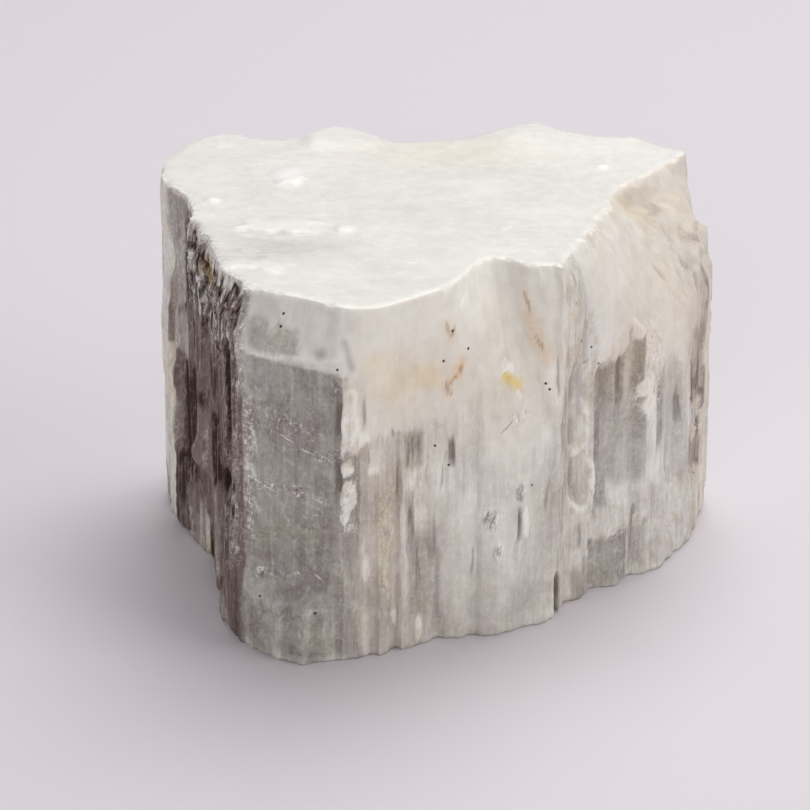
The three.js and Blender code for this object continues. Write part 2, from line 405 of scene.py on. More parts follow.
def sheets(wall):
    """Thin upright sheets edge-on to the front, each broken off at its own heights. From 0 to 1."""
    across = wall.x + 0.12 * wall.y + 0.5 * wall.rough(0.3, 0.04, 0.2, 289)
    total = 0.0
    for width, length, share, seed in ((2.9, 13.0, 0.6, 281), (1.3, 8.0, 0.4, 285)):
        place = across / width + 0.25 * noise(across * 0.3, 0, wall.z * 0.1, seed)
        number = whole(place)
        part = place - number
        depth = 0.0
        for side, weight in ((0, 1 - step(part, 0.82, 1.0)), (1, step(part, 0.82, 1.0))):
            lengths = length * (0.5 + scatter(number + side, seed + 1))
            level = wall.z / lengths + 7 * scatter(number + side, seed + 2)
            lower = whole(level)
            fade = step(level - lower, 0.85, 1.0)
            here, above = (scatter(number + side, lower + i, seed + 3) for i in (0, 1))
            depth = depth + weight * (here * (1 - fade) + above * fade)
        total = total + share * depth
    return total


def wall_relief(wall):
    """How far each wall point lies inside the large shape, in millimetres."""
    z = wall.z
    smooth, flat, crumbled = smooth_zones(wall), cleavage_faces(wall), crumbled_zone(wall)
    broad = laths(wall, 5.0, 60, 101)
    middling = laths(wall, 2.1, 34, 111)
    slender = laths(wall, 0.85, 20, 121)
    fibres = noise(wall.x * 1.9, wall.y * 1.9, z * 0.05, 131)
    bladed = 0.55 * broad + 0.40 * middling + 0.20 * slender + 0.06 * fibres
    front = wall.patch(30, 47, -5, 60, 2.0, 1.0, 2.0)
    bladed = bladed * (1 - 0.55 * front)
    rolling = 0.30 * wall.rough(0.2, 0.05, 0.2, 141, 4) + 0.3
    pitted = 0.10 * wall.rough(0.8, 0.15, 0.8, 151, 3)
    milky = rolling + pitted + (0.30 + 0.5 * step(wall.s, 55, 62)) * (sheets(wall) - 0.5)
    scratches = 0.10 * hackle(wall) + 0.07 * slender + 0.12 * middling
    plain = np.clip(1 - smooth - flat, 0, 1)
    relief = plain * bladed + smooth * milky * (1 - flat) + flat * (0.30 + scratches)
    relief = relief + crumbled * (0.6 * laths(wall, 0.5, 7, 147) + 0.30 * hackle(wall) - 0.35)
    relief = relief + grooves(wall) + shell_breaks(wall) - knobs(wall) + broken_ledge(wall)
    far_left = 0.6 * (1 - step(wall.s, -43, -40)) * (1 - step(z, 26, 44))
    relief = relief - 0.35 * (1 - step(wall.s, -30, -22)) - far_left
    nicks = np.clip(wall.rough(0.5, 0.5, 0.12, 161) - 0.38, 0, 1)
    return relief + (1.1 - 0.8 * (1 - step(wall.s, -28, -10))) * nicks * plain - 0.15


# What is painted on the walls ----------------------------------------

def frayed(wall):
    """White fibres that hang over the rim: short, and longer on the broken left wall and at the right."""
    column, row = blades(wall.x, wall.y, 0.75, 201)[:2]
    left = window(wall.s, -44, -40, -3, -0.5)
    right = window(wall.s, 54, 60, 80, 90)
    long = scatter(column, row, 203) ** 2
    reach = 0.1 + 0.15 * wall.waver_s + left * (0.6 + 2.8 * long) + right * (0.2 + 0.7 * long)
    return 1 - step(wall.below, reach * 0.6, reach + 0.2)


def clear_share(wall):
    """How glassy, and so how grey, each wall point is."""
    s, z = wall.s, wall.z
    tones = laths(wall, 1.4, 26, 171)
    clouds = wall.rough(0.22, 0.22, 0.2, 175, 4)
    planes = wall.rough(0.45, 0.02, 0.03, 177, 4)
    clouds = clouds + (0.7 * planes - clouds) * step(s, 57, 68)
    smooth = smooth_zones(wall)
    share = wall.painted(
        0.22,
        # The left wall.
        (0.72, -48, -0.2, -5, 60, 0.5, 0.3),
        (0.25, crumbled_zone(wall)),
        # A strip at the far left is painted lighter: painted light.
        (0.04, -54, -43, -5, 60, 0.5, 0.3, 1),
        (0.40, -43, -35, 28, 60, 0.6, 0.3, 2),
        (0.25, -36, -27, -3, 6, 1, 0.5, 2),
        (0.35, -18, -13, -3, 14, 1, 0.5, 2),
        (0.35, -9, -4.6, -3, 6.5, 0.6, 0.5, 1),
        # The front laths, from the white ridge beside the grey face to the right.
        (0.23, 15, 62, -5, 35, 1, 0.8, 3),
        (0.40, 15, 47, -5, 8, 1, 0.8, 6, 2),
        (0.66, 14.8, 17, -5, 21.5, 0.4, 0.5, 1.5, 1.5),
        (0.48, 16, 20.5, 8, 29.6, 0.5, 0.5, 0.8, 0.8),
        (0.10, 15.4, 22, 29.4, 30.3, 0.3, 0.6, 0.4, 0.3),
        (0.55, 15, 18.4, 24, 33.6, 0.3, 0.4, 0.4, 0.3),
        (0.8, 17.8, 18.4, 36.5, 41.3, 0.2, 0.15, 0.8),
        (0.46, 20.3, 24, 4, 30, 0.5, 0.6, 2, 1),
        (0.66, 24.4, 27.6, 28, 34, 0.35, 0.3, 0.8, 1),
        (0.75, 24.9, 26.1, 15, 24, 0.3, 0.3, 1.5, 2),
        (0.62, 25.4, 30.2, 4, 17, 0.5, 0.5, 2, 2),
        # A slot painted grey: painted shade in it.
        (0.70, 31.2, 32.2, 28, 32.5, 0.2, 0.1, 0.5, 0.8),
        # A slot painted grey: painted shade in it.
        (0.7, 41.9, 42.7, 14.5, 19.6, 0.2, 0.1, 1),
        (0.8, wall.spot(42.5, 22, 0.9, 1.6)),
        (0.05, wall.patch(39.5, 45, 28.5, 32.5, 0.8, 1, 2, 1) * 0.6),
        (0.10, 45.9, 48.2, 24, 31, 0.4, 0.3, 1.5, 0.8),
        (0.48, wall.patch(41, 47, 0, 13, 0.8, 1, 4, 3) * 0.7),
        (0.42, 44.6, 50, 5, 27, 1, 0.4, 4, 3),
        # A slot painted grey: painted shade in it.
        (0.95, 49.1, 50.6, -4, 6.8, 0.2, 0.15, 0.5),
        # The pale laths and curved shells right of the front.
        (0.27, 50.6, 59.6, 8, 33, 0.6, 0.6, 3, 2),
        (0.55, 51.2, 52.4, 31, 35.2, 0.3, 0.3, 0.8, 1),
        (0.36, wall.lump(57, 27, 1.9, 4.4)),
        (0.46, wall.lump(57, 19, 2.9, 4)),
        (0.36, 52.5, 55, 4, 13, 0.5, 0.5, 2),
        (0.60, 55, 58.4, -3, 6, 0.4, 0.3, 1, 1.5),
        # The grey faces on the right, and their lighter and darker laths.
        (0.64, 60.6, 69.6, 17, 30.5, 0.3, 0.3, 1.6, 1),
        (0.86, 60.7, 61.8, 21, 37.6, 0.2, 0.2, 0.8, 0.8),
        (0.80, 61.3, 66.3, 28, 34.6, 0.25, 0.2, 0.5, 0.5, -0.45),
        (1, 61.4, 62.9, 31, 35.2, 0.3, 0.2, 0.6, 0.5),
        (0.95, 65, 66.2, 29, 36.4, 0.25, 0.15, 0.6, 0.4),
        (0.58, 66.3, 68.9, 29, 40.8, 0.25, 0.2, 0.6, 0.5),
        (0.84, 67.5, 68.7, 30, 38.6, 0.3, 0.15, 0.6, 0.5),
        (0.78, 66.9, 69.6, 16, 22.5, 0.4, 0.3, 1, 1),
        (0.66, 60, 63.2, 13, 18, 0.3, 0.25, 1, 1.5),
        (0.44, 64.8, 69.8, 14, 23, 0.4, 0.35, 1.4, 1.2),
        (0.60, 65.4, 69.2, 8, 12, 0.4, 0.35, 0.8, 1.2),
        (0.52, 73, 79.9, 20, 31, 0.5, 0.4, 2, 1.4),
        (0.78, 73, 74.4, 19, 30, 0.3, 0.2, 1.4, 1),
        (1, 78.3, 79.5, 21, 26, 0.25, 0.2, 1, 0.6),
        (0.42, 76, 83, 12, 23, 0.5, 0.35, 2.5, 3),
        (0.76, 58.8, 66.4, 0.6, 8, 0.3, 0.3, 0.4, 0.4),
        (0.50, 66.8, 71, 2, 9, 0.4, 0.4, 1.2, 1),
        # The grey cleavage face: its foot, then the face, its patches and its edges.
        (0.76, -0.4, 15.6, -3, 9.2, 0.3, 0.3, 0.6, 0.3, 0.08),
        (0.74, -0.2, 15, 9.2, 45.7, 0.2, 0.15, 0.35, 0.15, 0.08),
        (0.92, wall.patch(9.5, 14, 34.5, 42, 0.8, 0.8, 1.5, 1) * 0.6),
        (0.81, 0.5, 14.5, 31, 45.7, 0.5, 1.5, 4, 0.15),
        (0.64, wall.patch(1, 8, 38, 45, 1, 1.5, 2, 1) * 0.6),
        # Its right edge beside the white ridge is painted darker: painted shade.
        (0.95, 13.8, 14.9, 25, 43, 0.3, 0.3, 1.5, 1),
        (1.3, 14, 15, 35.5, 40.5, 0.25, 0.2, 0.8, 0.5),
        (1.3, 13.9, 15, 26.5, 31.4, 0.25, 0.2, 0.8, 0.5),
        (0.68, -0.4, 0.9, 9, 46, 0.3, 0.3, 0.6),
        (0.45, -0.6, 15.4, -5, 1.2, 0.5, 0.5, 0.6),
        # A pale band low on the right.
        (0.22, 63, 76, 8.8, 16, 0.6, 0.5, 1.5),
        # The milky slope below the rim, and what shows grey in it.
        (0.17 + 0.10 * (sheets(wall) - 0.5), smooth),
        (0, wall.patch(17, 104, 46, 60, 1, 1, 4, 1) * 0.4),
        (0.62, wall.patch(0.2, 8.4, 46.2, 50.6, 0.7, 1.2, 0.9, 0.7) * 0.85),
        (0, wall.patch(0, 15, 45.4, 46.2, 0.4, 0.3, 0.3, 0.1, -0.09) * 0.7),
        (0.55, wall.spot(12, 47.6, 1.2, 1)),
        (0.48, wall.streak((15.4, 49.8), (16.6, 45.8), 0.7)),
        (0.26, 90.5, 97.5, 51, 60, 0.8, 0.5, 0.6, 0.5),
        # A painted shadow below the broken ledge at the right end.
        (0.60, wall.streak((93.6, 50.4), (95.4, 50.9), 0.7)),
        (0, frayed(wall)),
    )
    uneven = (0.42 - 0.23 * step(s, 14, 18)) * (tones - 0.37) * fibre_share(wall)
    uneven = uneven + 0.20 * clouds * (1 - 0.5 * smooth)
    # The knobs and the curved shell edges are painted whiter: partly their own white, partly painted
    # highlight.
    share = share + uneven - 1.1 * step(knobs(wall), 0.05, 0.3) - 1.3 * loop_edges(wall)
    broad = wall.rough(0.07, 0.07, 0.05, 179)
    back = step(s, 98, 108) * (0.05 + 0.5 * broad)
    return np.clip(share + back, 0, 1.2)


def fibre_share(wall):
    """How plainly the upright fibres show: 0 on a smooth milky face, 1 on bare laths."""
    return wall.painted(
        0.85,
        (0.7, 17, 30, -5, 60, 1.5, 1, 2),
        (0.20, 29, 50, -5, 60, 1.5, 1, 2),
        (0.35, cleavage_faces(wall)),
        (0.5, 60, 80, 14, 41, 0.5, 0.5, 1.5),
        (0.4, -0.4, 16.6, -3, 9.2, 0.5, 0.5, 1),
        (0.8, 14.8, 17, -5, 21.5, 0.4, 0.5, 1.5),
        (0.25, 80, 104, 33, 60, 1.5, 1, 4, 4),
        (0.04, smooth_zones(wall)),
        (1.4, -30, -12, 35, 60, 1, 1, 3),
    )


# Bands of scratches: middle height, half height, and the s of both ends.
SCRATCHED = (
    (35.2, 1.3, 0.5, 12.5), (32.2, 1.2, 1.5, 14.5), (25.6, 1.1, 0.5, 13), (20.6, 0.8, 5, 12),
    (12.6, 1, 1, 9), (41, 0.8, 2, 6.5), (7.4, 0.8, 2, 12),
)


def scored(wall):
    """Bands of nearly level scratches across the grey face."""
    drift = 0.7 * rough_noise(wall.s * 0.22, wall.z * 0.3, 0, 251)
    bands = 0.0
    for middle, half, left, right in SCRATCHED:
        near = 1 - step(np.abs(wall.z + drift - middle), half * 0.3, half)
        bands = np.maximum(bands, near * step(wall.s, left, left + 2) * (1 - step(wall.s, right - 3, right)))
    torn = step(rough_noise(wall.s * 0.5, wall.z * 0.8, 0, 255, 3), 0.0, 0.5)
    return np.clip(bands * (0.25 + 1.0 * torn) + 0.22 * torn, 0, 1)


def broken_share(wall):
    """How thickly small bright chips and dark pits lie on each wall point."""
    return wall.painted(
        0.12 * (1 - smooth_zones(wall)),
        (0.30, -46, -0.4, -5, 60, 0.5, 0.3),
        (1, crumbled_zone(wall)),
        (0.8, -6.5, -0.4, 12, 52, 0.5, 0.5, 2),
        (0.08 + 0.85 * scored(wall), -0.4, 15.4, -3, 45.7, 0.2, 0.15, 0.35),
        (0.7, -0.4, 1.1, 18, 38, 0.3, 0.5, 2),
        (0.2, 0.2, 8.4, 46.2, 50.6, 0.7, 1.2, 0.9, 0.7),
        (0.6, 14.6, 17, 20, 34, 0.4, 0.7, 1.5),
        (0.3, 20, 22.2, 9, 28, 0.4, 0.7, 3),
        (1.6, wall.spot(37.6, 18.8, 1.6, 2.2)),
        (1.6, wall.spot(38.7, 13.5, 1, 1.6)),
        (1.2, wall.spot(42.5, 22, 1, 1.6)),
        (0.9, wall.spot(42.6, 33.4, 2.6, 1.2)),
        (0.5, 68.5, 74, 26, 40, 0.8, 0.7, 2),
    )


# Dirt and painted shade on the left wall: the s of both sides, low and high end, and how thick it lies.
DIRT_AND_SHADE = (
    (-52, -44.5, -5, 5, 0.15), (-44.6, -42.9, 31, 42, 0.34), (-36.8, -33.4, 30, 60, 0.42),
    (-39.6, -37, 39, 48, 0.75), (-42.6, -36.6, 2, 11, 0.80), (-42.6, -41.6, 12, 28, 0.45),
    (-41.7, -27, 12, 28, 1.05), (-38.6, -35.6, 9, 12, 0.25), (-34, -29.5, 7, 12.5, 0.60),
    (-30.5, -27.5, 12.5, 19, 1), (-36.4, -28.4, -5, 7, 0.20), (-33.5, -28.5, 31, 42.5, 1.1),
    (-30, -27.2, 26, 31.5, 0.85), (-26.8, -21.8, 30, 43, 0.38), (-25.2, -15, 27.4, 29.4, 0.85),
    (-24.9, -22.9, 19.5, 27, 0.28), (-22.9, -21.3, 17.5, 27.4, 0.50), (-30, -21.6, 5, 18, 0.45),
    (-21.3, -15.9, 18.5, 28, 1.1), (-21.8, -16.5, 32, 36.5, 0.95), (-16.5, -9, 32.5, 40, 0.62),
    (-15.6, -7.5, 16, 32, 0.66), (-19.5, -15, 3, 18, 0.24), (-14, -6, 5, 15, 0.50),
    (-8.6, -5, -5, 6.2, 0.15), (-9, -0.6, 9, 21, 0.20), (-7, -5.4, 12.5, 17.5, 0.6),
    (-6.9, -6.2, 42, 52, 0.95), (-6.2, -0.7, 20, 46, 0.24), (-5.5, -4.7, 28, 51, 0.65),
    (-3.7, -3.2, 33, 52, 0.50), (-3.2, -1.2, -5, 8, 0.5),
)


def dirt_and_shade_share(wall):
    """Brown dirt caught in the broken left wall and the gaps at the far right, mixed with painted shade."""
    groove_dirt_and_shade = np.clip(grooves(wall) * 0.6, 0, 1)
    left = wall.patch(-42.8, -0.6, -5, 60, 0.6, 0.3)
    bands = laths(wall, 1.9, 16, 181)
    crumbled = crumbled_zone(wall)
    gaps = 0.55 + 0.45 * step(laths(wall, 1.0, 14, 187), 0.30, 0.45)
    pits = step(laths(wall, 0.5, 7, 147), 0.38, 0.60)
    splits = step(wall.rough(2.1, 2.1, 0.35, 149), -0.05, 0.25)
    share = wall.painted(
        0.0,
        # The left wall faces away from the lamps: painted darker as dirt and painted shade, its grooves more
        # so.
        (0.34 + 0.30 * bands + groove_dirt_and_shade, left),
        (0.08 + 0.12 * bands + groove_dirt_and_shade, -42.8, -36.5, 28, 60, 0.6, 0.3, 2),
        (0.08 * bands + 0.4 * groove_dirt_and_shade, -57, -43.2, -5, 60, 0.4, 0.3),
        # Dirt and painted shade in the pits and splits of the crumbled zone.
        (0.06 + 0.55 * pits + 0.6 * splits, crumbled),
    )
    for *place, dirt_and_shade in DIRT_AND_SHADE:
        area = wall.patch(*place, 0.3, 0.6, 1.0, 2.4)
        share = wall.painted(share, (dirt_and_shade * 0.95 + 0.3 * (bands - 0.3), area * (1 - 0.8 * crumbled)))
    return wall.painted(
        share,
        (0.08, -2.4, -0.3, 39, 60, 0.4, 0.5, 2),
        (0.58, wall.spot(-19.5, 50.2, 4.2, 2.4)),
        (1.3, wall.spot(-28.3, 2.6, 1.3, 4)),
        # The gaps at the far right: brown dirt and painted shade.
        (0.34, wall.patch(83.2, 92, 20.5, 27.5, 0.5, 0.6, 1, 3) * gaps),
        (0.20, wall.patch(87, 91.8, 27, 32, 0.5, 0.6, 1, 3) * gaps),
        (0.38, wall.patch(82.6, 92.2, 9.5, 17, 0.5, 0.6, 1, 3) * gaps),
        (0.14, wall.patch(90.2, 92.2, 33, 43, 0.3, 0.4, 1.5, 3) * gaps),
        (0.24, wall.streak((93, 41.5), (91.6, 28.5), 0.8)),
        (0.2, wall.spot(95, 45, 2, 1.4)),
        (0, frayed(wall)),
    )


# Rusty streaks down the milky slope: how strong each is, both ends and half width.
RUSTY = (
    (0.3, (30.9, 49.5), (32, 47.2), 1), (0.85, (33.3, 43.4), (32.6, 41.6), 1.2),
    (0.5, (32.6, 41.6), (31, 40.6), 1.1), (0.5, (30.9, 41.2), (31.3, 39.2), 1.2),
    (0.14, (30.5, 41.8), (21.8, 40.4), 0.9), (0.2, (30, 42.4), (27, 43.8), 1.4),
    (0.26, (45.4, 50.4), (46, 47), 1.1), (0.42, (46, 47), (46.6, 43.8), 2),
    (0.4, (46.6, 43.8), (48, 41.2), 1.8),
)


def orange_share(wall):
    """How orange the rusty streaks make each wall point."""
    return any_of(wall.streak, RUSTY)


# Yellow and cream stains. Spots: a strength, s, z, half width and half height. Patches are as above.
YELLOW_SPOTS = (
    (1.2, 40.6, 38.4, 2, 1.6, 1.6), (1.1, 42, 37.6, 1.8, 1.5, 1.6), (0.26, 20, 46.2, 3.8, 2.4),
    (0.34, 28.2, 42, 3, 2.2), (0.2, 24.5, 42.6, 8.5, 4.6), (0.75, -19.5, 50.2, 4.6, 2.7),
    (0.9, -28.3, 2.6, 1.4, 4.4), (0.18, 90, 51.5, 4, 3),
)
YELLOW_PATCHES = (
    (0.13, 19.6, 22.6, 10, 28, 0.8, 0.6, 3), (0.05, 16, 56, 30, 60, 1, 1, 5),
    (0.14, -50, -42.9, 12, 30, 0.6, 0.3, 4),
)
CREAM_SPOTS = (
    (0.6, 26, 42.5, 13, 9), (0.45, 40, 42, 14, 12),
)
CREAM_PATCHES = (
    (0.2, 16, 59, -5, 60, 1, 1, 3), (0.16, -0.4, 16, 45, 60, 0.5, 0.5, 1), (0.35, 16, 24, 4, 30, 1, 1, 3),
    (0.8, 85, 100, 0, 60, 3, 1, 3), (0.2, -57, -43, -5, 60, 0.5, 0.5, 2),
)


def yellow_share(wall):
    """Yellow stains."""
    return strongest(any_of(wall.spot, YELLOW_SPOTS), any_of(wall.patch, YELLOW_PATCHES))


def cream_share(wall):
    """A warm cream tint, strongest at the far right."""
    clouds = 0.75 + 0.5 * wall.rough(0.16, 0.16, 0.12, 191)
    right = step(wall.s, 53, 66) * step(wall.z, 22, 38) * 0.75 * (1 - step(wall.s, 104, 112))
    return clouds * strongest(any_of(wall.spot, CREAM_SPOTS), right, any_of(wall.patch, CREAM_PATCHES))


def marks(across, along, table, core=0.3):
    """1 on lens-shaped marks. Each has a place, half length, half width and lean to the right in degrees."""
    nearest = np.full(across.shape, np.inf)
    for s, z, half_long, half_wide, lean in table:
        sin, cos = math.sin(math.radians(lean)), math.cos(math.radians(lean))
        long_way = ((across - s) * sin + (along - z) * cos) / half_long
        wide_way = ((across - s) * cos - (along - z) * sin) / half_wide
        nearest = np.minimum(nearest, long_way ** 2 + wide_way ** 2)
    return 1 - step(nearest, core, 1.3)


# Marks on the walls: s, z, half length, half width, and degrees that the upper end leans to the right.
# Slits are painted dark: painted shade in them.
SLITS = (
    (18, 39, 2.4, 0.30, 2), (18.7, 32, 1.4, 0.25, 0), (15.4, 29.2, 0.8, 0.4, 85),
    (25.1, 30.8, 2.6, 0.25, 0), (25.9, 31.5, 2.4, 0.22, 0), (27, 31.8, 1.6, 0.22, 0),
    (31.4, 30.2, 2.1, 0.22, 0), (32, 30.2, 2.5, 0.30, 0), (25.3, 21, 1.8, 0.35, 0),
    (38.6, 13.5, 1, 0.3, -20), (42.3, 22, 1, 0.40, -15), (42.2, 17, 2.8, 0.22, 0),
    (51.6, 33.2, 1.9, 0.25, 0), (54.5, 51.4, 1.2, 0.22, 0), (65.3, 33.4, 3.4, 0.30, 0),
    (79, 23.6, 2.6, 0.45, 0), (68.4, 10.2, 2, 0.35, 0), (21.3, 19.5, 1.2, 0.25, -20),
    (30.2, 26, 2, 0.22, 3), (22.8, 26.5, 3, 0.22, 0), (56.2, 10.5, 2.4, 0.25, 0), (47.6, 20, 3, 0.22, 2),
    (35, 12, 2.6, 0.2, 0), (49.4, 38, 3.5, 0.22, 1), (92.4, 38.6, 0.9, 0.35, 0), (92.1, 35, 0.8, 0.35, 0),
)
# Holes are painted near black: dirt and painted shade in them.
HOLES = (
    (-6.8, 23.4, 1.9, 0.9, 0), (-3.3, 23.3, 1, 0.35, 0), (-3.4, 19.6, 1.4, 0.35, 0),
    (-18.6, 42.6, 2.6, 0.3, 0), (-29.4, 49.6, 2.8, 0.35, 5), (-23.4, 46, 2.6, 0.3, 10),
    (-8.4, 51.6, 3, 0.3, 10), (-4.95, 39, 11, 0.3, 0), (-12.4, 50, 3.2, 0.3, 8),
    (-14.6, 45, 3.6, 0.3, -6), (-26, 49, 3.4, 0.25, 6), (-21, 50.5, 2.4, 0.3, -8),
    (-10.2, 46.5, 3, 0.3, 5), (-32.5, 45, 4, 0.25, 0),
)
# Glints are painted highlights.
GLINTS = (
    (40.6, 41.5, 0.8, 0.3, 50), (42.6, 36.8, 0.8, 0.4, -40), (1.2, 32.4, 2.2, 0.35, -8),
    (1.1, 27.4, 1.7, 0.4, -20), (1.6, 22.4, 1.5, 0.3, -30),
)
RUST = (
    (31.1, 48.8, 1, 0.22, -20), (31.8, 47.9, 0.9, 0.25, 30), (33.2, 42.6, 0.7, 0.35, 0),
    (32.1, 41.2, 1.1, 0.22, 50), (30.95, 40.2, 1.2, 0.25, -8), (45.7, 49.2, 1.9, 0.20, -11),
    (46.9, 43.4, 1.4, 0.22, -20), (31.5, 39.3, 0.6, 0.22, -40),
)
# How far each kind of mark wavers, and its table.
MARKS = {"slit": (0.3, SLITS), "hole": (0.4, HOLES), "glint": (0.3, GLINTS), "rust": (0.4, RUST)}
# Glints on the top, painted highlights: the same, with x and y for s and z.
TOP_GLINTS = (
    (-21.9, 15.6, 2.9, 0.8, 38), (-20.6, 16.6, 1.5, 0.6, 10), (-26.2, -2.6, 1.7, 0.3, 24),
    (-12.6, -4.1, 0.5, 1.3, 12), (-32.5, 6, 0.4, 0.8, 10), (23.9, 18.7, 0.5, 1, 10),
    (9.8, -4.4, 1.2, 0.3, 30), (0.2, 7, 0.4, 0.8, 0), (11.7, -8.7, 0.4, 0.7, 0),
    (8.1, -15.2, 0.8, 0.35, 60), (-3.9, -16.6, 0.4, 0.8, 0), (-16.5, 1.2, 0.3, 1.3, 8),
)


# The mesh ------------------------------------------------------------

def faceted(s, z):
    """Heights drawn together in steps, so that a slope breaks down in upright facets."""
    cell = whole(s / 2.6 + 0.5 * noise(s * 0.3, 0, z * 0.06, 291))
    size = 2.6 + 3.4 * scatter(cell, 293)
    place = z / size + scatter(cell, 294)
    lower = np.floor(place)
    stepped = (lower + step(place - lower, 0.55, 1.0) - scatter(cell, 294)) * size
    slope = window(s, 56, 61, 100, 106) * step(z, 28, 36)
    front = window(s, 22, 28, 50, 56) * step(z, 34, 40)
    return z + (0.55 * slope + 0.35 * front) * (stepped - z)


def rim_height(s, angles):
    """Height of the rim at each column, with small chips and blocks out of it."""
    radius = np.array([[wall_radius(a, CAST_TOP)] for a in angles[:, 0]]) - RIM_INSET
    chips = np.clip(rough_noise(s * 0.32, 0, 0, 21, 4) - 0.15, 0, 1)
    blocks = scatter(whole(s / 1.7 + noise(s * 0.4, 0, 0, 25)), 27)
    return top_height(*plan_place(radius, angles)) - 0.22 - chips - 0.35 * blocks * step(s, 20, 50)


def cast_radius(s, z, angles):
    """The solid's radius at each wall point, read a little aside and in steps, so that no line runs true."""
    x, y = plan_place(ROUND_WALL, angles)
    waver = rough_noise(x * 0.4, y * 0.4, z * 0.3, 11, 4)
    lift = rough_noise(x * 0.35, y * 0.35, z * 0.35, 15, 4)
    calm = 1 - 0.8 * step(s, 56, 66) * (1 - step(s, 104, 112))
    turned = angles + 0.9 * calm * waver / TURN_RADIUS
    height = np.clip(faceted(s, z + 1.3 * calm * lift), 0.5, CAST_TOP)
    cast = [wall_radius(a, h) for a, h in zip(turned.ravel(), height.ravel())]
    return np.array(cast).reshape(z.shape)


def rounded_ends(z, rim, foot):
    """How much the edges at the rim and at the foot are rounded. Millimetres inwards."""
    return step(z, rim - 0.5, rim) ** 2 * 0.15 + (1 - step(z, foot, foot + 0.8)) ** 2 * 0.35


def rim_teeth(s, z, rim):
    """Small blocks broken out below the front and right rim. Millimetres inwards."""
    teeth = scatter(whole(s / 2.1 + noise(s * 0.5, 0, 0, 29)), 33)
    return teeth * step(z, rim - 3.2, rim - 0.4) * step(s, 30, 36) * (1 - step(s, 86, 92))


def wall_masks(wall):
    """The painted masks of the walls."""
    masks = {
        "clear": clear_share(wall),
        "fibrous": fibre_share(wall),
        "broken": broken_share(wall),
        "dirt_and_shade": dirt_and_shade_share(wall),
        "orange": orange_share(wall),
        "yellow": yellow_share(wall),
        "cream": cream_share(wall),
    }
    for name, (waver, table) in MARKS.items():
        masks[name] = marks(wall.s + waver * wall.waver_s, wall.z, table)
    return masks


def wall_grid():
    """The wall points, column by row up to the rim: their places, their masks and s."""
    s = column_places()[:, None]
    angles = direction_at(s)
    rim = rim_height(s, angles)
    foot = 0.7 * np.clip(rough_noise(s * 0.28, 0, 0, 31, 3) - 0.25, 0, 1)
    z = foot + (np.arange(ROWS + 1) / ROWS)[None, :] * (rim - foot)
    s = np.broadcast_to(s, z.shape)

    cast = cast_radius(s, z, angles)
    broad = smoothed(smoothed(cast, 4.0, 0, True), 2.5, 1, False)
    gentle = smoothed(smoothed(cast, 13.0, 0, True), 6.0, 1, False)
    radius = KEEP_STEPS * cast + (1 - KEEP_STEPS) * broad
    wall = Wall(s, z, *plan_place(radius, angles), rim)
    soft = smooth_zones(wall) * 0.85
    radius = radius * (1 - soft) + gentle * soft

    relief = wall_relief(wall)
    even = smoothed(relief, 5.0, 0, True)
    radius = radius - relief - (even - relief) * 0.7 * step(z, rim - 3.0, rim - 0.4)
    back_right = 1.4 * step(s, 110, 117) * (1 - step(s, 129, 136)) * step(z, 30, 50)
    radius = radius - rounded_ends(z, rim, foot) + back_right - rim_teeth(s, z, rim)
    return np.stack([*plan_place(radius, angles), z], -1), wall_masks(wall), s


def flake(x, y, middle, half, turn):
    """1 on a thin flake of the top: crisp at its near edge and at one end, and fading out at the others."""
    cos, sin = math.cos(turn), math.sin(turn)
    u = ((x - middle[0]) * cos + (y - middle[1]) * sin) / half[0]
    v = ((y - middle[1]) * cos - (x - middle[0]) * sin) / half[1]
    u = u + 0.7 * rough_noise(x * 0.22, y * 0.4, 0, 211)
    v = v + 0.6 * rough_noise(x * 0.3, y * 0.3, 0, 215)
    return window(u, -1.0, -0.88, 0.1, 1.0) * step(v, -1.0, -0.85) * (1 - step(v, 0.1, 1.0))


# The flakes of the top: middle, half size (a negative length is crisp at its right end), turn and height.
FLAKES = (
    ((-22.4, 15.2), (-2.4, 3.4), 0.30, 0.40),
    ((-21.2, -2.8), (5.8, 3.8), -0.20, 0.32),
    ((-13, -3.6), (1.6, 1.8), -0.10, 0.30),
    ((-32.8, 6.6), (1, 1), 0.20, 0.30),
    ((-26, -18), (5.5, 2.6), -0.25, 0.25),
    ((24, 18.6), (-1.2, 0.9), 0.30, 0.30),
)


def all_flakes(x, y):
    """How high the flakes stand, in millimetres, each rising a little towards its near edge."""
    height = 0.0
    for middle, half, turn, most in FLAKES:
        rise = 1 - 0.35 * np.clip((y - middle[1]) / half[1], -1, 1)
        height = height + most * rise * flake(x, y, middle, half, turn)
    return height


def combed(x, y):
    """1 by the near left rim, where the top frays into loose fibres."""
    return np.exp(-(((x + 27) / 7) ** 2) - ((y + 11) / 9) ** 2)


def top_relief(x, y):
    """Fine relief of the top face, in millimetres upwards."""
    lines = rough_noise(x * 0.30, y * 1.1, 0, 221, 3)
    grain = rough_noise(x * 0.8, y * 1.3, 0, 225, 3)
    worn = step(rough_noise(x * 0.08, y * 0.1, 0, 229, 3), -0.1, 0.5)
    return all_flakes(x, y) + 0.05 * lines * (0.2 + worn + 3.0 * combed(x, y)) + 0.03 * grain


